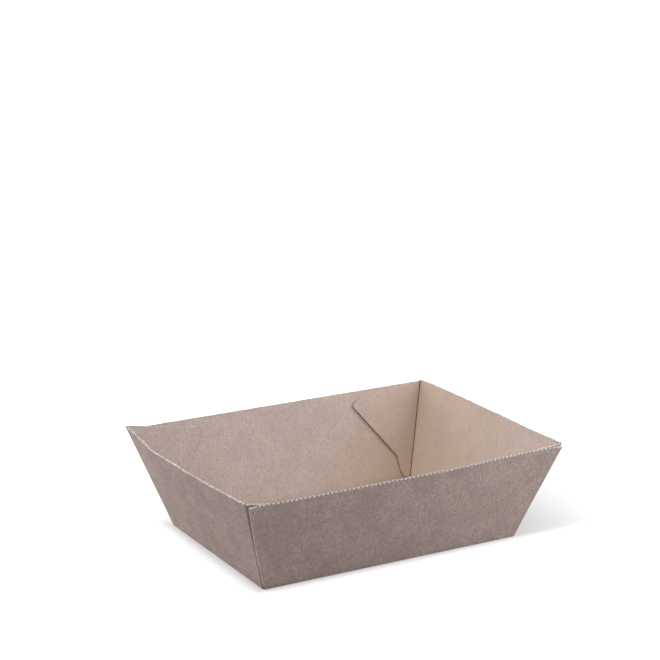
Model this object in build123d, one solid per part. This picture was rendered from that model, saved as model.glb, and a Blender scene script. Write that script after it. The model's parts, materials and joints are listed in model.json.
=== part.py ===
from build123d import *
import math
import os

# Folded tray of thin corrugated board: one blank with a base, two long walls, two end
# walls, and a corner flap at each end of each end wall. The flaps are glued to the inside
# of the long walls. X runs along the tray, Y across it, Z up, with the floor at Z = 0.
# A panel is drawn flat first, X along its lower crease, Y up its slope, its outer face
# at Z = 0 and its inner face one board thickness below.

# Board, millimetres
board = 1.2
liner = 0.22
flute_pitch = 2.4
flute_crest = 0.3
medium_depth = 0.2

# Tray. Base sizes are over the end walls and over the corner flaps, at the floor
base_length = 146.0
base_width = 99.6
wall_lean = 18.2
end_wall_slope = 54.3
long_wall_slope = 53.1
end_wall_bow = 3.3
fold_radius = 1.1
corner_radius = 0.7
crushed_band = 3.0

# The long walls' raw side edges stand back from the outside of the end walls
left_setback = 0.9
right_setback = 0.5

# Corner flaps, measured in from the corner fold and up the slope. The upper edge falls in
# a straight line, and each corner of the lower edge lies a fixed length short of the reach
left_flap_reach = 40.6
right_flap_reach = 44.1
flap_top_fall = 0.139
flap_tip_overshoot = 2.7
flap_tip_radius = 2.5
flap_kink_short = 32.8
flap_kink_height = 14.5
flap_knee_short = 36.2
flap_knee_height = 6.0
flap_toe_short = 38.2
flap_toe_height = 2.2
flap_foot_height = 1.6
flap_past_fold = 5.0

lean_sine = math.sin(math.radians(wall_lean))
lean_cosine = math.cos(math.radians(wall_lean))
lean_tangent = lean_sine / lean_cosine
board_across = board / lean_cosine
long_wall_span = base_width + 2 * board_across
over_size = 400.0
room_low = -5.0
room_high = 70.0
sliver_depth = 2.0
touch = 0.01


def outline_face(points):
    """Flat face with straight sides."""
    return make_face(Polyline(*points, close=True))


def end_wall_plane():
    """Outer face of the end wall on the +X side."""
    return Plane(
        origin=(base_length / 2, 0, 0),
        x_dir=(0, 1, 0),
        z_dir=(lean_cosine, 0, -lean_sine),
    )


def long_wall_plane():
    """Outer face of the long wall on the -Y side."""
    return Plane(
        origin=(0, -long_wall_span / 2, 0),
        x_dir=(1, 0, 0),
        z_dir=(0, -lean_cosine, -lean_sine),
    )


def room_between_leaning_planes(width_at_floor):
    """Space between two planes that lean out as the walls do, one on each X side."""
    low_half = width_at_floor / 2 + room_low * lean_tangent
    high_half = width_at_floor / 2 + room_high * lean_tangent
    corners = [
        (-low_half, room_low),
        (low_half, room_low),
        (high_half, room_high),
        (-high_half, room_high),
    ]
    return extrude(Plane.XZ * outline_face(corners), over_size / 2, both=True)


def channel(middle, wide_depth, narrow_depth):
    """Triangular outline of one air channel between the wavy medium and a liner."""
    half = (flute_pitch - flute_crest) / 2
    corners = [
        (middle - half, 0, -wide_depth),
        (middle + half, 0, -wide_depth),
        (middle, 0, -narrow_depth),
    ]
    return Wire.make_polygon(corners, close=True)


def fluted_board(pitches, run):
    """Flat board, channels along Y on both sides of the medium, X centred."""
    half = pitches * flute_pitch / 2
    under_outer_liner = liner
    over_inner_liner = board - liner
    channels = []
    for step in range(pitches):
        middle = flute_pitch * (step + 0.5) - half
        channels.append(channel(middle, under_outer_liner, over_inner_liner - medium_depth))
        if step > 0:
            crest = middle - flute_pitch / 2
            channels.append(channel(crest, over_inner_liner, under_outer_liner + medium_depth))
    edge = [(-half, 0, 0), (half, 0, 0), (half, 0, -board), (-half, 0, -board)]
    section = Face(Wire.make_polygon(edge, close=True), channels)
    return Solid.extrude(section, Vector(0, run, 0))


def creased_base(span, run):
    """Base with two sides folded up, as far as the flutes are crushed by the crease."""
    half = span / 2
    band_out = crushed_band * lean_sine
    band_up = crushed_band * lean_cosine
    right_side = [
        (half, 0),
        (half + band_out, band_up),
        (half + band_out - board * lean_cosine, band_up + board * lean_sine),
        (half - board_across + board * lean_tangent, board),
    ]
    left_side = [(-x, z) for x, z in reversed(right_side)]
    section = outline_face(right_side + left_side)
    floor_corners = section.vertices().filter_by_position(Axis.Y, -touch, touch)
    section = fillet(floor_corners, fold_radius)
    return extrude(Plane.XZ * section, run / 2, both=True)


def strip_outline(half, bow):
    """Board seen on edge, straight or bowed out, its outer face through the ends."""
    if bow == 0:
        return outline_face([(-half, 0), (half, 0), (half, -board), (-half, -board)])
    outer = ThreePointArc((-half, 0), (0, bow), (half, 0))
    inner = ThreePointArc((half, -board), (0, bow - board), (-half, -board))
    left_edge = Line((-half, -board), (-half, 0))
    right_edge = Line((half, 0), (half, -board))
    return make_face([outer, right_edge, inner, left_edge])


def end_wall():
    """End wall above its crushed band, on +X: straight low down, bowed at the rim."""
    crease_half = base_width / 2 + crushed_band * lean_sine
    rim_half = base_width / 2 + end_wall_slope * lean_sine
    levels = [(crushed_band, crease_half, 0), (end_wall_slope, rim_half, end_wall_bow)]
    sections = []
    for height, half, bow in levels:
        across = Plane(origin=(0, height, 0), x_dir=(-1, 0, 0), z_dir=(0, 1, 0))
        sections.append(across * strip_outline(half, bow))
    return end_wall_plane() * loft(sections, ruled=True)


def flap_outline(reach):
    """Corner flap at +X, in the plane of the long wall."""
    tip = reach + flap_tip_overshoot
    corners = [
        (-flap_past_fold, end_wall_slope),
        (0, end_wall_slope),
        (tip, end_wall_slope - flap_top_fall * tip),
        (reach - flap_kink_short, flap_kink_height),
        (reach - flap_knee_short, flap_knee_height),
        (reach - flap_toe_short, flap_toe_height),
        (-flap_past_fold, flap_foot_height),
    ]
    points = []
    for inward, height in corners:
        fold = base_length / 2 + height * lean_sine
        points.append((fold - inward, height - board * lean_tangent))
    face = outline_face(points)
    tip_corner = face.vertices().sort_by(Axis.X)[0]
    return fillet(tip_corner, flap_tip_radius)


def corner_flap(reach):
    """Flap on the inside of the -Y long wall at its +X end, flutes in from the fold."""
    pitches = math.ceil(end_wall_slope / flute_pitch)
    blank = Rot(0, 0, 90) * fluted_board(pitches, over_size / 2)
    blank = Pos(over_size / 2, pitches * flute_pitch / 2, 0) * blank
    shape = extrude(flap_outline(reach), -board)
    return long_wall_plane() * (Pos(0, 0, -board) * (blank & shape))


def long_wall():
    """Long wall on -Y above its crushed band, flutes up the slope, raw side edges."""
    pitches = math.ceil((base_length + 2 * end_wall_slope * lean_sine) / flute_pitch)
    blank = Pos(0, crushed_band, 0) * fluted_board(pitches, long_wall_slope - crushed_band)
    return long_wall_plane() * blank


def end_walls_with_base():
    """Base and both end walls, cut off level with the outside of the corner flaps."""
    wall = end_wall()
    strip = creased_base(base_length, over_size / 2) + wall + mirror(wall, Plane.YZ)
    return strip & (Rot(0, 0, 90) * room_between_leaning_planes(base_width))


def long_walls_with_base():
    """Base and both long walls, with the raw side edges inside the end walls' ends."""
    wall = long_wall()
    strip = Rot(0, 0, 90) * creased_base(long_wall_span, over_size / 2)
    strip = strip + wall + mirror(wall, Plane.XZ)
    length = base_length - left_setback - right_setback
    shift = (left_setback - right_setback) / 2
    return strip & (Pos(shift, 0, 0) * room_between_leaning_planes(length))


def corner_flaps():
    """The four flaps, cut off level with the outside of the end walls."""
    right = corner_flap(right_flap_reach)
    left = mirror(corner_flap(left_flap_reach), Plane.YZ)
    room = room_between_leaning_planes(base_length)
    front = [right & room, left & room]
    return front + [mirror(flap, Plane.XZ) for flap in front]


def corner_shavings():
    """What lies outside the rounded corner folds, as four long slivers."""
    half_turn = math.acos(lean_sine**2) / 2
    centre = -corner_radius / math.cos(half_turn)
    outer_radius = corner_radius + sliver_depth

    def point(turn, radius):
        return (centre + radius * math.cos(turn), radius * math.sin(turn))

    rounding = ThreePointArc(
        point(-half_turn, corner_radius), point(0, corner_radius), point(half_turn, corner_radius)
    )
    outside = Polyline(
        point(half_turn, corner_radius),
        point(half_turn, outer_radius),
        point(-half_turn, outer_radius),
        point(-half_turn, corner_radius),
    )
    fold = Plane(
        origin=(base_length / 2, -base_width / 2, 0),
        x_dir=(lean_cosine, -lean_cosine, -2 * lean_sine),
        z_dir=(lean_tangent, -lean_tangent, 1),
    )
    sliver = extrude(fold * make_face([rounding, outside]), 2 * end_wall_slope, both=True)
    right = [sliver, mirror(sliver, Plane.XZ)]
    return right + [mirror(part, Plane.YZ) for part in right]


def folded_tray():
    """The whole tray as one piece of board."""
    inner = end_walls_with_base()
    for flap in corner_flaps():
        inner = inner + flap
    for sliver in corner_shavings():
        inner = inner - sliver
    return inner + long_walls_with_base()


os.makedirs("parts", exist_ok=True)
tray = folded_tray()
export_step(tray, "parts/tray.step")
box = tray.bounding_box()
print(f"tray: {len(tray.solids())} solid, {len(tray.faces())} faces, valid {tray.is_valid}")
print(f"volume {tray.volume:.0f} mm3, box {box.min} to {box.max}")
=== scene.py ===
import json
import math

import bmesh
import bpy
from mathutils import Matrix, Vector, noise

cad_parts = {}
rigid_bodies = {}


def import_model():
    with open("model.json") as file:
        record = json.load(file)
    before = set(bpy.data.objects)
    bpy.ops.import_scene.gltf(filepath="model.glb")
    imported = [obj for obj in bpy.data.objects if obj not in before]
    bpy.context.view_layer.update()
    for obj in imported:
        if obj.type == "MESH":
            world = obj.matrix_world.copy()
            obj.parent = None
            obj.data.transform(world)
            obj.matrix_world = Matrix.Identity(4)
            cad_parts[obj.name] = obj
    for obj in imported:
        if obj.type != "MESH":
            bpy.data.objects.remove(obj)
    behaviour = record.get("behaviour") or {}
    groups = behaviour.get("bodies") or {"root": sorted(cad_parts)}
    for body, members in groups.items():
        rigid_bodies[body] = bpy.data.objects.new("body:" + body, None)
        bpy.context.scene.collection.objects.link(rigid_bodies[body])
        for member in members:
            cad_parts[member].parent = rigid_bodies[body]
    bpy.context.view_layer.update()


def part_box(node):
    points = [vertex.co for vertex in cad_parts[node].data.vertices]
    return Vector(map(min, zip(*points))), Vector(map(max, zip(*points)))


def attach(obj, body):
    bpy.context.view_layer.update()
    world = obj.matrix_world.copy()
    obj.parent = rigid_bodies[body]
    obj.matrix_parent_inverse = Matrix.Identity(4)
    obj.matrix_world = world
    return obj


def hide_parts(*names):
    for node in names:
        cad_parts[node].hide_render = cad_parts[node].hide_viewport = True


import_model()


# --- Long walls and base: the outer liner ---------------------------------------------
# The blank's middle strip is the base with the front and back walls folded up from it.
# Its outside is one sheet of brown kraft liner, scored and bent round each crease, with
# its side edges left as the die cut them.
mm = 0.001
board = 1.2 * mm
liner = 0.22 * mm
lean = math.radians(18.2)
lean_sine = math.sin(lean)
lean_cosine = math.cos(lean)
lean_tangent = math.tan(lean)
tray_low, tray_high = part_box("tray")

long_wall_short = 1.2 * mm
end_slope = (tray_high.z - board * lean_sine) / lean_cosine
long_slope = end_slope - long_wall_short
end_bow = 3.3 * mm
half_length = tray_high.x - end_bow * lean_cosine - end_slope * lean_sine
half_span = tray_high.y - long_slope * lean_sine
half_width = half_span - board / lean_cosine
fold_radius = 1.1 * mm
fold_tangent = fold_radius * math.tan((math.pi / 2 - lean) / 2)
inner_crease = board * lean_tangent - board / lean_cosine
crease_lip = 0.6 * mm
base_steps = 16
bend_steps = 6
wall_steps = 14

# The back wall is bowed out in the middle of its rim. The front wall is bowed out over its
# left part and drawn in at the right, where the flap holds it; the last of each end has
# sprung back
long_bow = 0.9 * mm
front_bow = 1.45 * mm
draw_in = 2.45 * mm
draw_in_start = 12 * mm
draw_in_run = 70 * mm
left_dip = 0.4 * mm
left_dip_place = -80 * mm
left_dip_half = 6 * mm
right_spring = 0.7 * mm
right_spring_start = 74 * mm
right_spring_run = 14 * mm

# The raw side edges stand back from the end walls' outside, less or more along their height
right_setback = 0.2 * mm
right_setback_loss = 0.65 * mm
left_setback = 0.7 * mm
left_setback_hollow = 0.35 * mm
left_setback_gain = 0.5 * mm

rim_fray = 0.07 * mm
rim_fray_run = 1.5 * mm
rim_worn = 0.35 * mm
left_tuck = 0.7 * mm
left_tuck_start = 55 * mm
left_tuck_run = 18 * mm


def spread(start, end, steps):
    """Evenly spaced values from start to end, both included."""
    return [start + (end - start) * step / steps for step in range(steps + 1)]


def fray(place, size, seed):
    """Small uneven shift of a cut edge, the same for the same place."""
    fine = noise.noise(Vector((place / (0.9 * mm), seed, 0.5)))
    coarse = noise.noise(Vector((place / (6 * mm), seed + 7.3, 0.5)))
    return size * (fine + 0.6 * coarse)


def eased(value):
    """0 to 1 with a smooth start and end, held outside that range."""
    value = min(1.0, max(0.0, value))
    return value * value * (3 - 2 * value)


def long_bulge(x, height, front):
    """How far a long wall stands out of its plane, at most at the rim and nothing at its foot."""
    share = max(0.0, height / long_slope)
    if not front:
        half = half_length + height * lean_sine
        return long_bow * share * (1 - (x / half) ** 2)
    bulge = front_bow - draw_in * eased((x - draw_in_start) / draw_in_run)
    bulge -= left_dip * math.exp(-(((x - left_dip_place) / left_dip_half) ** 2))
    bulge += right_spring * eased((x - right_spring_start) / right_spring_run)
    return bulge * share


def raw_setback(end, height):
    """How far a raw side edge of a long wall stands back from the end wall's outside."""
    share = max(0.0, height / long_slope)
    if end > 0:
        return right_setback - right_setback_loss * share
    hollow = left_setback_hollow * math.sin(math.pi * share)
    return left_setback - hollow + left_setback_gain * share**2


def outer_section():
    """Outside of half the strip, seen on edge: y, z, outward direction, height up the wall."""
    turn = math.pi / 2 - lean
    rows = [(y, 0, 0, -1, None) for y in spread(0, half_span - fold_tangent, base_steps)]
    for angle in spread(0, turn, bend_steps)[1:-1]:
        y = half_span - fold_tangent + fold_radius * math.sin(angle)
        z = fold_radius * (1 - math.cos(angle))
        rows.append((y, z, math.sin(angle), -math.cos(angle), None))
    for height in spread(fold_tangent, long_slope, wall_steps):
        y = half_span + height * lean_sine
        rows.append((y, height * lean_cosine, lean_cosine, -lean_sine, height))
    return rows


def strip_ends(row, inner):
    """Left and right ends of a row of the strip."""
    y, z, _, _, height = row
    if height is None and y < half_width:
        end = half_length + (inner_crease - crease_lip if inner else -fold_tangent)
        return -end, end
    end = half_length + z * lean_tangent
    return raw_setback(-1, height or 0.0) - end, end - raw_setback(1, height or 0.0)


def strip_point(column, row, side, inner, depth):
    """Point of the strip: column 0 to 1 from left to right, side -1 front or +1 back."""
    y, z, out_y, out_z, height = row
    left, right = strip_ends(row, inner)
    x = left + column * (right - left)
    out = -depth
    rise = 0.0
    if height is not None:
        out += long_bulge(x, height, side < 0)
        rim = max(0.0, 1 - (long_slope - height) / rim_fray_run)
        rise = rim * (fray(x, rim_fray, 3.1 * side + inner) - (0.0 if inner else rim_worn))
    y += out_y * out + rise * lean_sine
    return Vector((x, side * y, z + out_z * out + rise * lean_cosine))


def sheet_object(name, shown, hidden, painted_shade_marks=None):
    """Closed sheet between two grids of points; shown is the face that is seen, and the marks, if
    given, say where shade is painted.
    """
    mesh = bpy.data.meshes.new(name)
    rows = len(shown)
    columns = len(shown[0])
    points = [point for grid in (shown, hidden) for line in grid for point in line]

    def at(row, column, back=0):
        return (back * rows + row) * columns + column

    faces = []
    for row in range(rows - 1):
        for column in range(columns - 1):
            corners = [(row, column), (row, column + 1), (row + 1, column + 1), (row + 1, column)]
            faces.append([at(*corner) for corner in corners])
            faces.append([at(*corner, 1) for corner in reversed(corners)])
    border = [(0, column) for column in range(columns)]
    border += [(row, columns - 1) for row in range(1, rows)]
    border += [(rows - 1, column) for column in range(columns - 2, -1, -1)]
    border += [(row, 0) for row in range(rows - 2, 0, -1)]
    for this, following in zip(border, border[1:] + border[:1]):
        faces.append([at(*following), at(*this), at(*this, 1), at(*following, 1)])
    mesh.from_pydata(points, [], faces)
    if painted_shade_marks:
        painted_shade = mesh.attributes.new("painted_shade", "FLOAT", "POINT")
        painted_shade.data.foreach_set("value", [mark for line in painted_shade_marks for mark in line] * 2)
    piece = bpy.data.objects.new(name, mesh)
    bpy.context.scene.collection.objects.link(piece)
    return piece


def joined(name, parts):
    """One object made of several."""
    for part in bpy.context.scene.objects:
        part.select_set(part in parts)
    bpy.context.view_layer.objects.active = parts[0]
    bpy.ops.object.join()
    parts[0].name = name
    parts[0].data.name = name
    return parts[0]


seam_gap = 0.002 * mm
sharpest_bend = math.radians(40)


def finish_mesh(piece, material):
    """Merges seams, turns the faces outwards and keeps only real creases sharp."""
    work = bmesh.new()
    work.from_mesh(piece.data)
    bmesh.ops.remove_doubles(work, verts=work.verts, dist=seam_gap)
    bmesh.ops.recalc_face_normals(work, faces=work.faces)
    work.to_mesh(piece.data)
    work.free()
    piece.data.shade_smooth()
    piece.data.set_sharp_from_angle(angle=sharpest_bend)
    piece.data.materials.clear()
    piece.data.materials.append(material)


def tucked(point):
    """The foot of the left end wall was creased a little further in than its fellow."""
    share = eased((-point.x - left_tuck_start) / left_tuck_run) * max(0.0, 1 - point.z / tray_high.z)
    return Vector((point.x + left_tuck * share, point.y, point.z))


def on_root(piece):
    """Gives a finished piece its place on the tray."""
    for vertex in piece.data.vertices:
        vertex.co = tucked(vertex.co)
    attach(piece, "root")
    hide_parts("tray")


def linear(code):
    """sRGB hex colour as the linear values that a shader takes."""
    channels = []
    for place in (1, 3, 5):
        part = int(code[place:place + 2], 16) / 255
        channels.append(part / 12.92 if part <= 0.04045 else ((part + 0.055) / 1.055) ** 2.4)
    return channels + [1]


def add(tree, kind, values=(), links=(), **settings):
    """Adds one node with its settings, the values of its sockets and what feeds them."""
    node = tree.nodes.new(kind)
    for name, setting in settings.items():
        setattr(node, name, setting)
    for socket, value in dict(values).items():
        node.inputs[socket].default_value = value
    for socket, source in dict(links).items():
        tree.links.new(source, node.inputs[socket])
    return node


# Colour sockets of the Mix node
MIX_FACTOR, MIX_FIRST, MIX_SECOND, MIX_RESULT = 0, 6, 7, 2

# Sizes of what shows in the liner: clumps of fibres and their tint, single fibres, the
# cloudy formation of the sheet, dark specks, and the streaks in which the liner dries over
# the hidden flutes, drawn out up the walls
clump_size = 0.8 * mm
tint_size = 1.9 * mm
fibre_size = 0.4 * mm
cloud_size = 14 * mm
speck_spacing = 5 * mm
streak_width = 1.3 * mm
streak_length = 9 * mm
# Colour of the painted warm light bounced between the kraft walls
painted_warm_bounce_tone = "#B7A28A"


def kraft_liner(name, dark, light, warm, speck_and_painted_shade_tone, painted_warm_bounce):
    """Recycled kraft liner, uncoated and calendered: matte, mottled mauve-grey and tan, with painted
    shade where marked and painted warm bounce light.
    """
    material = bpy.data.materials.new(name)
    material.use_nodes = True
    tree = material.node_tree
    shader = tree.nodes["Principled BSDF"]
    shader.inputs["Roughness"].default_value = 0.86
    shader.inputs["IOR"].default_value = 1.45
    shader.inputs["Specular IOR Level"].default_value = 0.25
    place = {"Vector": add(tree, "ShaderNodeTexCoord").outputs["Object"]}
    clump = add(tree, "ShaderNodeTexNoise",
                {"Scale": 1 / clump_size, "Detail": 3.0, "Roughness": 0.7}, place)
    cloud = add(tree, "ShaderNodeTexNoise",
                {"Scale": 1 / cloud_size, "Detail": 4.0, "Roughness": 0.55}, place)
    tint = add(tree, "ShaderNodeTexNoise",
               {"Scale": 1 / tint_size, "Detail": 2.0, "Roughness": 0.6}, place)
    fibre = add(tree, "ShaderNodeTexNoise",
                {"Scale": 1 / fibre_size, "Detail": 2.0, "Distortion": 1.2}, place)
    drawn = add(tree, "ShaderNodeVectorMath",
                {1: (1 / streak_width, 1 / streak_width, 1 / streak_length)},
                {0: place["Vector"]}, operation="MULTIPLY")
    streak = add(tree, "ShaderNodeTexNoise", {"Scale": 1.0, "Detail": 2.0},
                 {"Vector": drawn.outputs[0]})
    speck = add(tree, "ShaderNodeTexVoronoi",
                {"Scale": 1 / speck_spacing, "Randomness": 1.0}, place)
    # Painted warm light: the sheet is painted slowly warmer towards the low right end of the tray,
    # for light bounced between the kraft walls
    along = add(tree, "ShaderNodeVectorMath", {1: (1.0, 0.4, -1.0)}, {0: place["Vector"]},
                operation="DOT_PRODUCT")
    painted_shade = add(tree, "ShaderNodeAttribute", attribute_name="painted_shade")
    # Each tone is laid over the dark ground in turn: where it starts and where it is full,
    # how much of it shows there, and its colour
    colour = None
    for pattern, begins, full, most, tone in (
        (clump.outputs["Fac"], 0.36, 0.64, 1.0, light),
        (tint.outputs["Fac"], 0.44, 0.6, 0.5, warm),
        (streak.outputs["Fac"], 0.48, 0.66, 0.4, dark),
        # The next tone is painted warm light, strongest low at the right end
        (along.outputs["Value"], 0.01, 0.07, painted_warm_bounce, painted_warm_bounce_tone),
        (cloud.outputs["Fac"], 0.42, 0.6, 0.3, dark),
        # Dark specks of the recycled pulp, in the same brown as the painted shade
        (speck.outputs["Distance"], 0.04, 0.02, 0.6, speck_and_painted_shade_tone),
        # The last tone is painted shade, where the mesh is marked for it
        (painted_shade.outputs["Fac"], 0.1, 0.9, 0.9, speck_and_painted_shade_tone),
    ):
        limits = {"From Min": begins, "From Max": full, "To Min": 0.0, "To Max": most}
        shows = add(tree, "ShaderNodeMapRange", limits, {"Value": pattern})
        feeds = {MIX_FACTOR: shows.outputs["Result"]}
        if colour:
            feeds[MIX_FIRST] = colour
        tones = {MIX_FIRST: linear(dark), MIX_SECOND: linear(tone)}
        colour = add(tree, "ShaderNodeMix", tones, feeds, data_type="RGBA").outputs[MIX_RESULT]
    tree.links.new(colour, shader.inputs["Base Color"])
    rough = add(tree, "ShaderNodeBump", {"Strength": 0.4, "Distance": 0.05 * mm},
                {"Height": fibre.outputs["Fac"]})
    tree.links.new(rough.outputs["Normal"], shader.inputs["Normal"])
    return material


outer_kraft = kraft_liner("outer_kraft_liner", "#8C7B77", "#BEADAA", "#B3988A", "#8A6540", 0.0)

strip_columns = spread(0, 1, 420)


def strip_sheet(name, section, inner, covered, material):
    """One liner of the strip, front to back; covered is how far its glued side lies under it."""
    stations = [(row, -1) for row in reversed(section)] + [(row, 1) for row in section[1:]]
    grids = []
    for depth in (0.0, covered):
        grids.append([[strip_point(column, row, side, inner, depth) for column in strip_columns]
                      for row, side in stations])
    piece = sheet_object(name, *grids)
    finish_mesh(piece, material)
    return piece


long_outer = strip_sheet("long_walls_outer_liner", outer_section(), False, liner, outer_kraft)
on_root(long_outer)


# --- Long walls and base: the inner liner ---------------------------------------------
# The inside of the same strip, a second sheet of kraft liner. Each crease was scored from
# this side, so it is pressed into a narrow groove along the foot of the wall.
crease_groove = 0.35 * mm


def inner_section():
    """Inside of half the strip, seen on edge, with the groove at the foot of the wall."""
    crease_y = half_span + inner_crease
    crease_height = board * (1 - lean_sine) / lean_cosine
    rows = [(y, board, 0, -1, None) for y in spread(0, crease_y - crease_lip, base_steps)]
    half_turn = (math.pi / 2 - lean) / 2
    out_y = math.sin(half_turn)
    out_z = -math.cos(half_turn)
    rows.append((crease_y + crease_groove * out_y, board + crease_groove * out_z, out_y, out_z, None))
    for height in spread(crease_height + crease_lip, long_slope, wall_steps):
        y = half_span + height * lean_sine - board * lean_cosine
        z = height * lean_cosine + board * lean_sine
        rows.append((y, z, lean_cosine, -lean_sine, height))
    return rows


inner_kraft = kraft_liner("inner_kraft_liner", "#A6968F", "#C6B8B5", "#C2AB9B", "#96693C", 0.6)
long_inner = strip_sheet("long_walls_inner_liner", inner_section(), True, -liner, inner_kraft)
on_root(long_inner)


# --- End walls with their corner flaps: the outer liner --------------------------------
# Each end wall goes on round both corners into a flap that is glued inside a long wall.
# The rim bows outwards between its corners, and the left one has a small knock in it.
corner_radius = 0.7 * mm
corner_steps = 8
facing = lean_sine**2
back_left_out = 0.5 * mm
right_rim_bow = 1.6 * mm
left_rim_bow = 3.05 * mm
left_knock = 1.1 * mm
left_knock_place = 0.29
left_knock_half = 0.11

# A flap's outline, from the corner fold to its tip. Each corner of its lower edge lies a
# fixed length short of the reach
flap_reaches = {-1: 41.4 * mm, 1: 44.1 * mm}
flap_overshoot = 1.9 * mm
top_edge_drop = 0.139
tip_radius = 2.5 * mm
kink_short = 32.8 * mm
kink_height = 14.5 * mm
knee_before_kink = 3.4 * mm
knee_height = 6 * mm
toe_short = 39 * mm
toe_least = 1.6 * mm
toe_height = 2.2 * mm
flap_foot = 0.3 * mm
flap_start = 1.0 * mm
flap_steps = 70
tip_steps = 12
flap_rows = 24

flap_lifts = {-1: 0.0, 1: 0.1 * mm}
flap_follow_run = 15 * mm
pressed_thin = 0.3
pressed_run = 8 * mm
# Painted shade along the outer score of each corner: its strength and how far it runs onto the flap
painted_score_shade = 0.3
painted_score_shade_run = 2.5 * mm


def outward(end, side):
    """Outward directions of an end wall and of the flap round its corner."""
    return Vector((end * lean_cosine, 0, -lean_sine)), Vector((0, side * lean_cosine, -lean_sine))


def fold_line(end, side, slope):
    """Sharp outer corner of an end wall and its flap, at a distance up the slope."""
    out = slope * lean_sine
    point = Vector((end * (half_length + out), side * (half_width + out), slope * lean_cosine))
    if (end, side) == (-1, 1):
        point += outward(end, side)[0] * back_left_out * slope / end_slope
    return point


def corner_point(end, side, slope, share, depth):
    """Outside of the rounded corner fold: share 0 on the end wall, 1 on the flap."""
    wall_out, flap_out = outward(end, side)
    inset = (wall_out + flap_out) * corner_radius / (1 + facing)
    centre = fold_line(end, side, slope) - inset
    turn = math.acos(facing)
    out = wall_out * math.sin((1 - share) * turn) + flap_out * math.sin(share * turn)
    return centre + out / math.sin(turn) * (corner_radius - depth)


def rim_bow(end, share, level):
    """Outward bow of an end wall; share is 0 at the back, 1 at the front, level 1 at the rim."""
    if end > 0:
        return right_rim_bow * math.sin(math.pi * share) * level
    knock = left_knock * math.exp(-(((share - left_knock_place) / left_knock_half) ** 2))
    return left_rim_bow * math.sin(math.pi * share) * level + knock * level**3


corner_peaks = {(-1, 1): 0.95 * mm, (-1, -1): -0.4 * mm, (1, -1): 0.5 * mm, (1, 1): -0.55 * mm}
corner_peak_run = 22 * mm


def corner_peak(end, side, away):
    """Corners pulled up a little, or pressed down, as they were folded; away is the distance."""
    return corner_peaks[end, side] * (1 - eased(away / corner_peak_run))


def end_fray(end, share, slope):
    """Uneven cut of an end wall's rim."""
    rim = max(0.0, 1 - (end_slope - slope) / rim_fray_run)
    return rim * fray(share * 2 * half_width, 1.6 * rim_fray, 0.3 + 5 * end)


def lifted(end, share, slope, point):
    """Adds the bow of the end wall and the frayed rim to a point of its flat face."""
    wall_out, _ = outward(end, 1)
    up = Vector((end * lean_sine, 0, lean_cosine))
    level = slope / end_slope
    width = 2 * half_width
    peak = corner_peak(end, 1, 2 * share * width) + corner_peak(end, -1, (1 - share) * width)
    peak *= level**2
    return point + wall_out * rim_bow(end, share, level) + up * (peak + end_fray(end, share, slope))


def flap_high(inward):
    """Upper edge of a flap, falling in a straight line from the corner's peak."""
    return end_slope - top_edge_drop * inward


def flap_low(inward, reach):
    """Lower edge of a flap: a steep foot, then a long diagonal to the tip."""
    tip = reach + flap_overshoot
    kink = reach - kink_short
    toe = max(toe_least, reach - toe_short)
    corners = [(0, flap_foot), (toe, toe_height), (kink - knee_before_kink, knee_height)]
    corners += [(kink, kink_height), (tip, flap_high(tip))]
    for (near, low), (far, high) in zip(corners, corners[1:]):
        if inward <= far:
            return low + (high - low) * (inward - near) / (far - near)
    return flap_high(tip)


def flap_columns(reach, start):
    """Columns of a flap as (inward, low, high), closing in an arc at its rounded tip."""
    tip = reach + flap_overshoot
    slant = math.atan2(flap_high(tip) - kink_height, kink_short + flap_overshoot)
    drop = math.atan(top_edge_drop)
    away = math.pi + (slant - drop) / 2
    back = tip_radius / math.sin((slant + drop) / 2)
    centre = tip + back * math.cos(away)
    middle = flap_high(tip) + back * math.sin(away)
    top_turn = math.pi / 2 - drop
    low_turn = math.pi / 2 - slant
    columns = []
    for inward in spread(start, centre + tip_radius * math.cos(top_turn), flap_steps):
        columns.append((inward, flap_low(inward, reach), flap_high(inward)))
    for turn in spread(top_turn, 0, tip_steps)[1:]:
        inward = centre + tip_radius * math.cos(turn)
        rise = tip_radius * math.sin(turn)
        low = flap_low(inward, reach) if turn > low_turn else middle - rise
        columns.append((inward, low, middle + rise))
    return columns


def flap_point(end, side, inward, slope, depth):
    """Point of a flap: it follows the long wall, and may lift a little towards its tip."""
    _, flap_out = outward(end, side)
    lift = flap_lifts[end] * (inward / flap_reaches[end]) ** 2
    place = fold_line(end, side, slope) + Vector((-end, 0, 0)) * inward
    follow = long_bulge(place.x, slope, side < 0) * eased(inward / flap_follow_run)
    return place - flap_out * (depth + lift - follow)


def flap_thickness(end, above):
    """The left flaps are pressed thin along their lower edge; above is the distance from it."""
    if end > 0:
        return board
    return board * (pressed_thin + (1 - pressed_thin) * eased(above / pressed_run))


def end_wall_rows():
    """Rows of an end wall's outside: angles of the bend under it, then heights."""
    turn = math.pi / 2 - lean
    bend = [("bend", angle) for angle in spread(0, turn, bend_steps)[:-1]]
    return bend + [("wall", slope) for slope in spread(fold_tangent, end_slope, wall_steps)]


def end_outer_point(end, share, row, depth):
    """Point of an end wall's outside: share 0 at the back, 1 at the front."""
    kind, value = row
    slope = value if kind == "wall" else fold_tangent
    back = corner_point(end, 1, slope, 0, depth)
    front = corner_point(end, -1, slope, 0, depth)
    point = back.lerp(front, share)
    if kind == "wall":
        return lifted(end, share, slope, point)
    out = half_length - fold_tangent + (fold_radius - depth) * math.sin(value)
    up = fold_radius - (fold_radius - depth) * math.cos(value)
    return Vector((end * out, point.y, up))


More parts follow.
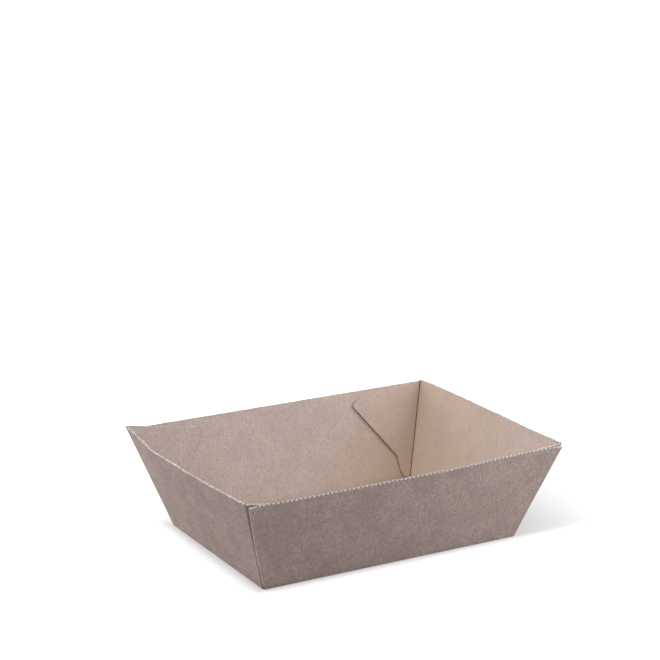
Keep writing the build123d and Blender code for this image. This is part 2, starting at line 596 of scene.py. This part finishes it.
end_columns = spread(0, 1, 260)
outer_parts = []
for end in (-1, 1):
    grids = [[[end_outer_point(end, share, row, depth) for share in end_columns]
              for row in end_wall_rows()] for depth in (0.0, liner)]
    outer_parts.append(sheet_object(f"end_outer_{end}", *grids))
    for side in (-1, 1):
        columns = flap_columns(flap_reaches[end], flap_start)
        grids = []
        for depth in (0.0, liner):
            grid = []
            for rise in spread(0, 1, flap_rows):
                top = end_slope + corner_peak(end, side, 0)
                line = [corner_point(end, side, rise * top, share, depth)
                        for share in spread(0, 1, corner_steps)]
                for inward, low, high in columns:
                    high += corner_peak(end, side, inward)
                    line.append(flap_point(end, side, inward, low + rise * (high - low), depth))
                grid.append(line)
            grids.append(grid)
        # Painted shade: the last three steps of the corner and the start of the flap are painted
        # darker along the score, for the shade where the flap shows beside the long wall's raw edge
        score_shade = [painted_score_shade * max(0.0, 1 - (corner_steps - step) / 3)
                 for step in range(corner_steps + 1)]
        score_shade += [painted_score_shade * max(0.0, 1 - inward / painted_score_shade_run) for inward, _, _ in columns]
        painted_shade_marks = [score_shade for _ in grids[0]]
        outer_parts.append(sheet_object(f"flap_outer_{end}_{side}", *grids, painted_shade_marks))
end_outer = joined("end_walls_outer_liner", outer_parts)
finish_mesh(end_outer, outer_kraft)
on_root(end_outer)


# --- End walls with their corner flaps: the inner liner --------------------------------
# The inside of the same sheets. At each corner fold the liner was scored, and the fold
# crushed it into a groove that runs from the rim down to the base. That groove and the crease at the
# foot of each end wall are painted dark, a painted shade.
corner_groove = 0.32 * mm
corner_lip = 0.75 * mm
groove_shoulder = 0.35
groove_dip = 0.3
groove_wobble = 0.15 * mm
# Painted shade across the corner groove, from the end wall's lip to the flap's lip
groove_shade_marks = [0.0, 0.75, 1.0, 0.75, 0.0]
inner_end_slope = end_slope - 0.3 * mm
inner_flap_start = 2.6 * mm
inner_flap_rows = 40


def inner_corner(end, side, slope):
    """Sharp inner corner of an end wall and its flap, at a distance up the slope."""
    wall_out, flap_out = outward(end, side)
    return fold_line(end, side, slope) - (wall_out + flap_out) * board / (1 + facing)


def groove_points(end, side, slope, depth):
    """Lip on the end wall, bottom of the groove, lip on the flap."""
    wall_out, flap_out = outward(end, side)
    corner = inner_corner(end, side, slope)
    middle = (wall_out + flap_out).normalized()
    wobble = groove_wobble * noise.noise(Vector((slope / (4 * mm), 9.1 * end, 3.7 * side)))
    shoulder = groove_shoulder * corner_lip
    dip = middle * (groove_dip * corner_groove + depth)
    to_wall = Vector((0, -side, 0))
    to_flap = Vector((-end, 0, 0))
    return [
        corner + to_wall * corner_lip + wall_out * depth,
        corner + to_wall * (shoulder + wobble) + dip,
        corner + middle * (corner_groove + depth) + to_wall * wobble,
        corner + to_flap * (shoulder - wobble) + dip,
        corner + to_flap * corner_lip + flap_out * depth,
    ]


def end_inner_point(end, share, row, depth):
    """Point of an end wall's inside: share 0 at the back, 1 at the front."""
    kind, slope = row
    if kind == "wall":
        back = groove_points(end, 1, slope, depth)[0]
        front = groove_points(end, -1, slope, depth)[0]
        return lifted(end, share, slope, back.lerp(front, share))
    wide = half_width + board * lean_tangent - crease_lip
    out = half_length + inner_crease
    up = board - depth
    if kind == "base":
        out -= crease_lip
    if kind == "groove":
        out += crease_groove * math.cos(math.pi / 4) + depth
        up -= crease_groove * math.cos(math.pi / 4)
    return Vector((end * out, wide * (1 - 2 * share), up))


crease_rise = board * (1 - lean_sine) / lean_cosine + crease_lip
inner_rows = [("base", 0), ("groove", 0)]
inner_rows += [("wall", slope) for slope in spread(crease_rise, inner_end_slope, wall_steps)]
inner_parts = []
for end in (-1, 1):
    grids = [[[end_inner_point(end, share, row, depth) for share in end_columns]
              for row in inner_rows] for depth in (0.0, liner)]
    # Painted shade along the groove at the foot of the end wall
    painted_shade_marks = [[1.0 if kind == "groove" else 0.0 for _ in end_columns] for kind, _ in inner_rows]
    inner_parts.append(sheet_object(f"end_inner_{end}", *grids, painted_shade_marks))
    for side in (-1, 1):
        columns = flap_columns(flap_reaches[end], inner_flap_start)
        grids = []
        for depth in (0.0, liner):
            grid = []
            for rise in spread(0, 1, inner_flap_rows):
                top = inner_end_slope + corner_peak(end, side, 0)
                line = groove_points(end, side, crease_rise + rise * (top - crease_rise), depth)
                for inward, low, high in columns:
                    high += corner_peak(end, side, inward)
                    above = rise * (high - low)
                    under = flap_thickness(end, above) - depth
                    line.append(flap_point(end, side, inward, low + above, under))
                grid.append(line)
            grids.append(grid)
        # Painted shade: the right flaps' cut lower edge is painted dark, for the shadow of the gap
        # under it; the left ones are pressed flat there
        painted_shade_marks = [groove_shade_marks + [0.0] * len(columns) for _ in grids[0]]
        painted_shade_marks[0] = groove_shade_marks + [1.0 if end > 0 else 0.0] * len(columns)
        inner_parts.append(sheet_object(f"flap_inner_{end}_{side}", *grids, painted_shade_marks))
end_inner = joined("end_walls_inner_liner", inner_parts)
finish_mesh(end_inner, inner_kraft)
on_root(end_inner)


# --- Fluting of the long walls ---------------------------------------------------------
# Between the liners runs the medium, a thin white paper pressed into waves and glued at
# its crests. Its flutes run up the long walls, so the rims and raw side edges show them.
flute_pitch = 2.4 * mm
paper = 0.28 * mm
flute_height = board - 2 * liner - 0.5 * paper
prouds = {-1: 0.15 * mm, 1: 0.04 * mm}
flute_fray = 0.1 * mm
crushed_band = 3 * mm
flat_crest = 0.85
# Painted shade in the outer hollows of the flutes: where it starts, how far it runs, and its colour
hollow_shade_start = 0.35
hollow_shade_run = 0.4
hollow_shade_tone = "#ADA4A0"


def fluting_tree():
    """Flat wavy sheet: one flute repeated along X, its length from -0.5 to 0.5 along Y."""
    tree = bpy.data.node_groups.new("fluting", "GeometryNodeTree")
    for name, kind in (("Flutes", "NodeSocketInt"), ("Pitch", "NodeSocketFloat"),
                       ("Height", "NodeSocketFloat"), ("Paper", "NodeSocketMaterial")):
        tree.interface.new_socket(name, in_out="INPUT", socket_type=kind)
    tree.interface.new_socket("Geometry", in_out="OUTPUT", socket_type="NodeSocketGeometry")
    given = add(tree, "NodeGroupInput").outputs
    grid = add(tree, "GeometryNodeMeshGrid", {"Size Y": 1.0, "Vertices X": 17, "Vertices Y": 7},
               {"Size X": given["Pitch"]})
    position = add(tree, "GeometryNodeInputPosition").outputs[0]
    place = add(tree, "ShaderNodeSeparateXYZ", links={0: position})
    turns = add(tree, "ShaderNodeMath", links={0: place.outputs["X"], 1: given["Pitch"]},
                operation="DIVIDE")
    angle = add(tree, "ShaderNodeMath", {1: 2 * math.pi}, {0: turns.outputs[0]},
                operation="MULTIPLY")
    wave = add(tree, "ShaderNodeMath", links={0: angle.outputs[0]}, operation="COSINE")
    # The crests are pressed a little flat where they are glued to the liners
    limits = {"From Min": -flat_crest, "From Max": flat_crest, "To Min": -0.5, "To Max": 0.5}
    crest = add(tree, "ShaderNodeMapRange", limits, {"Value": wave.outputs[0]})
    rise = add(tree, "ShaderNodeMath", links={0: crest.outputs[0], 1: given["Height"]},
               operation="MULTIPLY")
    offset = add(tree, "ShaderNodeCombineXYZ", links={"Z": rise.outputs[0]})
    flute = add(tree, "GeometryNodeSetPosition",
                links={"Geometry": grid.outputs["Mesh"], "Offset": offset.outputs[0]})
    step = add(tree, "ShaderNodeCombineXYZ", links={"X": given["Pitch"]})
    line = add(tree, "GeometryNodeMeshLine",
               links={"Count": given["Flutes"], "Offset": step.outputs[0]})
    copies = add(tree, "GeometryNodeInstanceOnPoints",
                 links={"Points": line.outputs["Mesh"], "Instance": flute.outputs["Geometry"]})
    real = add(tree, "GeometryNodeRealizeInstances",
               links={"Geometry": copies.outputs["Instances"]})
    whole = add(tree, "GeometryNodeMergeByDistance", {"Distance": 0.001 * mm},
                {"Geometry": real.outputs["Geometry"]})
    white = add(tree, "GeometryNodeSetMaterial",
                links={"Geometry": whole.outputs["Geometry"], "Material": given["Paper"]})
    add(tree, "NodeGroupOutput", links={"Geometry": white.outputs["Geometry"]})
    return tree


def fluting_paper(name, code, shade, grain):
    """White semi-chemical fluting paper: matte, uneven where its fibres clump or are torn."""
    material = bpy.data.materials.new(name)
    material.use_nodes = True
    tree = material.node_tree
    shader = tree.nodes["Principled BSDF"]
    shader.inputs["Roughness"].default_value = 0.9
    shader.inputs["Specular IOR Level"].default_value = 0.2
    place = {"Vector": add(tree, "ShaderNodeTexCoord").outputs["Object"]}
    clump = add(tree, "ShaderNodeTexNoise", {"Scale": 1 / grain, "Detail": 2.0}, place)
    limits = {"From Min": 0.38, "From Max": 0.55}
    share = add(tree, "ShaderNodeMapRange", limits, {"Value": clump.outputs["Fac"]})
    tone = add(tree, "ShaderNodeMix", {MIX_FIRST: linear(shade), MIX_SECOND: linear(code)},
               {MIX_FACTOR: share.outputs["Result"]}, data_type="RGBA")
    # Painted shade: the hollows of the flutes on their outer side are painted darker, for the shadow
    # inside them
    hollow = add(tree, "ShaderNodeAttribute", attribute_name="hollow")
    shaded_hollows = add(tree, "ShaderNodeMix", {MIX_SECOND: linear(hollow_shade_tone)},
                {MIX_FACTOR: hollow.outputs["Fac"], MIX_FIRST: tone.outputs[MIX_RESULT]},
                data_type="RGBA")
    tree.links.new(shaded_hollows.outputs[MIX_RESULT], shader.inputs["Base Color"])
    return material


medium = fluting_tree()
white_paper = fluting_paper("white_fluting_paper", "#E2DFDE", "#C4BFBD", 0.8 * mm)


def flat_fluting(flutes):
    """Plain mesh of the flat wavy sheet."""
    holder = bpy.data.objects.new("fluting", bpy.data.meshes.new("fluting"))
    bpy.context.scene.collection.objects.link(holder)
    modifier = holder.modifiers.new("fluting", "NODES")
    modifier.node_group = medium
    values = {"Flutes": flutes, "Pitch": flute_pitch,
              "Height": flute_height, "Paper": white_paper}
    for item in medium.interface.items_tree:
        if item.name in values:
            modifier[item.identifier] = values[item.name]
    evaluated = holder.evaluated_get(bpy.context.evaluated_depsgraph_get())
    plain = bpy.data.meshes.new_from_object(evaluated)
    bpy.data.objects.remove(holder)
    piece = bpy.data.objects.new("fluting", plain)
    bpy.context.scene.collection.objects.link(piece)
    return piece


def give_thickness(piece):
    """The medium's paper, half to each side of the wave."""
    thickness = piece.modifiers.new("paper", "SOLIDIFY")
    thickness.thickness = paper
    thickness.offset = 0.0


def wall_fluting(side):
    """Fluting of one long wall, cut off by its raw side edges and its rim."""
    rim_half = half_length + long_slope * lean_sine - 0.3 * mm
    flutes = int(2 * rim_half / flute_pitch)
    piece = flat_fluting(flutes)
    shift = flute_pitch * (flutes - 1) / 2
    # How deep each point lies in an outer hollow, which sets its painted shade
    depths = [0.5 - vertex.co.z / flute_height for vertex in piece.data.vertices]
    hollow = piece.data.attributes.new("hollow", "FLOAT", "POINT")
    hollow.data.foreach_set("value", [eased((depth - hollow_shade_start) / hollow_shade_run) for depth in depths])
    for vertex in piece.data.vertices:
        x = vertex.co.x - shift
        setback = raw_setback(1 if x > 0 else -1, (abs(x) - half_length) / lean_sine)
        edge = (abs(x) + setback - half_length) / lean_sine
        foot = min(max(crushed_band, edge), long_slope)
        top = long_slope + prouds[side] + fray(x, flute_fray, 11 * side)
        height = foot + (vertex.co.y + 0.5) * (max(foot, top) - foot)
        out = vertex.co.z - board / 2 + long_bulge(x, height, side < 0)
        y = half_span + height * lean_sine + out * lean_cosine
        vertex.co = Vector((x, side * y, height * lean_cosine - out * lean_sine))
    return piece


wall_flutes = joined("long_wall_fluting", [wall_fluting(-1), wall_fluting(1)])
give_thickness(wall_flutes)
on_root(wall_flutes)


# --- Fluting of the corner flaps --------------------------------------------------------
# The same medium in the flaps, where its flutes run in from the corner fold. The flap's
# slanting edge cuts across them and shows their open ends.
flap_torn = {-1: 11 * mm, 1: 0.9 * mm}
torn_unevenness = 1.2 * mm
flute_start = 1.5 * mm


def flap_reach_at(columns, slope):
    """How far in a flap reaches at a distance up the slope."""
    return max((inward for inward, low, high in columns if low <= slope <= high), default=0.0)


def flap_fluting(end, side):
    """Fluting of one flap, torn back unevenly from its slanting edge."""
    flutes = int(end_slope / flute_pitch)
    piece = flat_fluting(flutes)
    columns = flap_columns(flap_reaches[end], flap_start)
    for vertex in piece.data.vertices:
        slope = vertex.co.x + flute_pitch * 0.6
        uneven = noise.noise(Vector((slope / (1.1 * mm), 5.0 * end, 3.0 * side)))
        torn = flap_torn[end] + torn_unevenness * uneven
        inward = max(flute_start, flap_reach_at(columns, slope) - torn)
        across = flute_start + (vertex.co.y + 0.5) * (inward - flute_start)
        vertex.co = flap_point(end, side, across, slope, board / 2 + vertex.co.z)
    return piece


flap_sheets = [flap_fluting(end, side) for end in (-1, 1) for side in (-1, 1)]
flap_flutes = joined("flap_fluting", flap_sheets)
give_thickness(flap_flutes)
on_root(flap_flutes)


# --- Torn fluting along the rims, the flaps' upper edges and the raw side edges ----------
# On these edges the flutes run along the cut, so the die split one open lengthways. It
# shows as a ragged white band between the two liners, with dark pits.
band_depth = 2.2 * mm
band_margin = 1 / 12
pit_width = 0.6 * mm
pit_length = 0.7 * mm
pit_start = 0.12
deepest_pit = 0.9 * mm
tuft = 0.16 * mm
tufts_per_pit = 2.3


def torn_band(name, stations, seed, crown, pitting):
    """Ragged band along an edge: stations are (top, lower point, outward, up, run, thickness)."""
    shown = []
    hidden = []
    for share in spread(band_margin, 1 - band_margin, 8):
        line = []
        arch = crown * (1 - (2 * share - 1) ** 4)
        for top, _, out, up, run, thick in stations:
            depth = share * thick
            place = Vector((run / pit_width, depth / pit_length, seed))
            pit = min(deepest_pit, max(0.0, noise.noise(place) - pit_start) * pitting)
            rough = tuft * noise.noise(place * tufts_per_pit)
            line.append(top - out * depth + up * (arch + rough - pit))
        shown.append(line)
        hidden.append([low - out * share * thick / 2 for _, low, out, _, _, thick in stations])
    return sheet_object(name, shown, hidden)


def rim_stations(end):
    """Along an end wall's rim, from back to front."""
    stations = []
    up = Vector((end * lean_sine, 0, lean_cosine))
    for share in spread(0.004, 0.996, 620):
        top = end_outer_point(end, share, ("wall", end_slope), 0.0)
        low = end_outer_point(end, share, ("wall", end_slope - band_depth), 0.0)
        stations.append((top, low, outward(end, 1)[0], up, share * 2 * half_width, board))
    return stations


def flap_stations(end, side):
    """Along a flap's upper edge, from the corner fold to the start of its rounded tip."""
    stations = []
    up = Vector((0, side * lean_sine, lean_cosine))
    for inward in spread(0.8 * mm, flap_columns(flap_reaches[end], 0.0)[flap_steps][0], 200):
        high = flap_high(inward) + corner_peak(end, side, inward)
        top = flap_point(end, side, inward, high, 0.0)
        low = flap_point(end, side, inward, high - band_depth, 0.0)
        thick = flap_thickness(end, flap_high(inward) - flap_low(inward, flap_reaches[end]))
        stations.append((top, low, outward(end, side)[1], up, inward, thick))
    return stations


def side_stations(end, side):
    """Along a long wall's raw side edge, from its foot to its rim; up is out of the edge."""
    stations = []
    for height in spread(crushed_band, long_slope - 0.1 * mm, 240):
        x = half_length + height * lean_sine - raw_setback(end, height)
        y = half_span + height * lean_sine
        out = outward(end, side)[1]
        places = []
        for across in (end * x, end * (x - band_depth)):
            place = Vector((across, side * y, height * lean_cosine))
            places.append(place + out * long_bulge(across, height, side < 0))
        stations.append((*places, out, Vector((end, 0, 0)), height, board))
    return stations


# The back left flap's edge stands up in a higher crown. The back flaps' edges tore cleanly,
# and the front ones' are pitted
bands = []
for end in (-1, 1):
    bands.append(torn_band(f"rim_{end}", rim_stations(end), 4.2 * end, 0.1 * mm, 5.0 * mm))
    for side in (-1, 1):
        crown = 0.36 * mm if (end, side) == (-1, 1) else 0.15 * mm
        pitting = 2 * mm if side < 0 else 0.0
        edge = flap_stations(end, side)
        bands.append(torn_band(f"flap_{end}_{side}", edge, 2.6 * end + side, crown, pitting))
        edge = side_stations(end, side)
        bands.append(torn_band(f"side_{end}_{side}", edge, 1.7 * end + side, 0.1 * mm, 2.5 * mm))
# The torn paper's tones are darker than the white fluting's: painted shade for the tiny shadows among
# its torn fibres
shaded_torn_paper = fluting_paper("torn_fluting_paper_painted_shade", "#D2CECE", "#8D8583", 0.55 * mm)
rim_flutes = joined("torn_edge_fluting", bands)
finish_mesh(rim_flutes, shaded_torn_paper)
on_root(rim_flutes)


# --- Floor, light and camera -------------------------------------------------------------
# A seamless white floor in an evenly white room, as in a small product studio. Three soft
# panels stand near the tray, at its low left, low right and high right, and three wide
# lights shine from further off, high on the left, high at the front left and low behind.
floor_drop = 0.05 * mm
floor_half = 9.0
# Glow of the floor at the tray's base, and how far it takes to reach white on each side: a painted
# shadow
painted_shadow_glow = 0.3
right_shadow_fade = 200 * mm
back_shadow_fade = 30 * mm
left_shadow_fade = 14 * mm
front_shadow_fade = 12 * mm


def white_floor(name):
    """White painted floor: it takes the tray's shadow, adds a painted shadow round the base, and is
    white where it lies clear.
    """
    material = bpy.data.materials.new(name)
    material.use_nodes = True
    tree = material.node_tree
    tree.nodes.clear()
    paint = add(tree, "ShaderNodeBsdfDiffuse", {"Color": linear("#AAAAAA")})
    seen = add(tree, "ShaderNodeLightPath").outputs["Is Camera Ray"]
    place = add(tree, "ShaderNodeTexCoord").outputs["Object"]
    # Painted shadow: round the tray's base the floor's glow is dimmed, so it is greyer on top of the
    # real shadow, and it fades to white. That takes longest on the right, where the tray stands in
    # the way of most light
    spans = []
    for turn, across, along in ((1.0, right_shadow_fade, back_shadow_fade), (-1.0, left_shadow_fade, front_shadow_fade)):
        feed = {0: place}
        for sums, values in (
            ("MULTIPLY", (turn, turn, 0.0)),
            ("SUBTRACT", (half_length, half_width, 0.0)),
            ("MAXIMUM", (0.0, 0.0, 0.0)),
            ("MULTIPLY", (1 / across, 1 / along, 0.0)),
        ):
            past = add(tree, "ShaderNodeVectorMath", {1: values}, feed, operation=sums)
            feed = {0: past.outputs[0]}
        spans.append(past.outputs[0])
    whole = add(tree, "ShaderNodeVectorMath", links={0: spans[0], 1: spans[1]}, operation="ADD")
    away = add(tree, "ShaderNodeVectorMath", links={0: whole.outputs[0]}, operation="LENGTH")
    limits = {"From Min": 0.0, "From Max": 1.0, "To Min": painted_shadow_glow, "To Max": 1.0}
    level = add(tree, "ShaderNodeMapRange", limits, {"Value": away.outputs["Value"]})
    strength = add(tree, "ShaderNodeMath", links={0: seen, 1: level.outputs["Result"]},
                   operation="MULTIPLY")
    glow = add(tree, "ShaderNodeEmission", links={"Strength": strength.outputs[0]})
    both = add(tree, "ShaderNodeAddShader", links={0: paint.outputs[0], 1: glow.outputs[0]})
    add(tree, "ShaderNodeOutputMaterial", links={"Surface": both.outputs[0]})
    return material


floor_mesh = bpy.data.meshes.new("studio_floor")
floor_corners = [(-1, -1), (1, -1), (1, 1), (-1, 1)]
floor_points = [(floor_half * x, floor_half * y, 0) for x, y in floor_corners]
floor_mesh.from_pydata(floor_points, [], [(0, 1, 2, 3)])
floor_mesh.materials.append(white_floor("white_studio_floor"))
floor = bpy.data.objects.new("studio_floor", floor_mesh)
floor.location.z = tray_low.z - floor_drop
bpy.context.scene.collection.objects.link(floor)

world = bpy.data.worlds.new("studio")
bpy.context.scene.world = world
world.use_nodes = True
tree = world.node_tree
room = tree.nodes["Background"]
room.inputs["Color"].default_value = linear("#FFFFFF")
seen = add(tree, "ShaderNodeLightPath").outputs["Is Camera Ray"]
tree.links.new(seen, room.inputs["Strength"])


def aimed(name, light, back):
    """A light that shines from the direction back, or from the place back, on the tray."""
    item = bpy.data.objects.new(name, light)
    item.location = back
    item.rotation_mode = "QUATERNION"
    item.rotation_quaternion = Vector(back).to_track_quat("Z", "Y")
    bpy.context.scene.collection.objects.link(item)


def panel(name, place, size, power):
    """Soft square lamp: its place and size in metres, its power in watts."""
    light = bpy.data.lights.new(name, "AREA")
    light.shape = "SQUARE"
    light.size = size
    light.energy = power
    aimed(name, light, place)


def wide_light(name, azimuth, elevation, spread_angle, level):
    """Even light from far away; level 1 shows a facing surface in its own colour."""
    light = bpy.data.lights.new(name, "SUN")
    light.angle = math.radians(spread_angle)
    light.energy = math.pi * level
    turn, rise = math.radians(azimuth), math.radians(elevation)
    back = (math.sin(turn) * math.cos(rise), -math.cos(turn) * math.cos(rise), math.sin(rise))
    aimed(name, light, back)


panel("low_left", (-0.4, 0.25, 0.15), 0.25, 1.1)
panel("low_right", (0.35, -0.35, 0.12), 0.25, 1.3)
panel("high_right", (0.4, -0.2, 0.5), 0.3, 1.8)
wide_light("high_left", 270, 50, 50, 0.31)
wide_light("high_front_left", 315, 50, 50, 0.5)
wide_light("low_behind", 180, 18, 30, 0.68)

# A long lens at the front left, a little above the rim
lens = bpy.data.cameras.new("camera")
lens.lens = 109.7
lens.clip_start = 0.05
camera = bpy.data.objects.new("camera", lens)
azimuth = math.radians(-29.55)
elevation = math.radians(15.14)
ground = math.cos(elevation)
back = Vector((math.sin(azimuth) * ground, -math.cos(azimuth) * ground, math.sin(elevation)))
camera.location = (-0.4877, -0.8485, 0.3725)
camera.rotation_mode = "QUATERNION"
camera.rotation_quaternion = (-back).to_track_quat("-Z", "Y")
bpy.context.scene.collection.objects.link(camera)
bpy.context.scene.camera = camera
bpy.context.scene.view_settings.view_transform = "Standard"
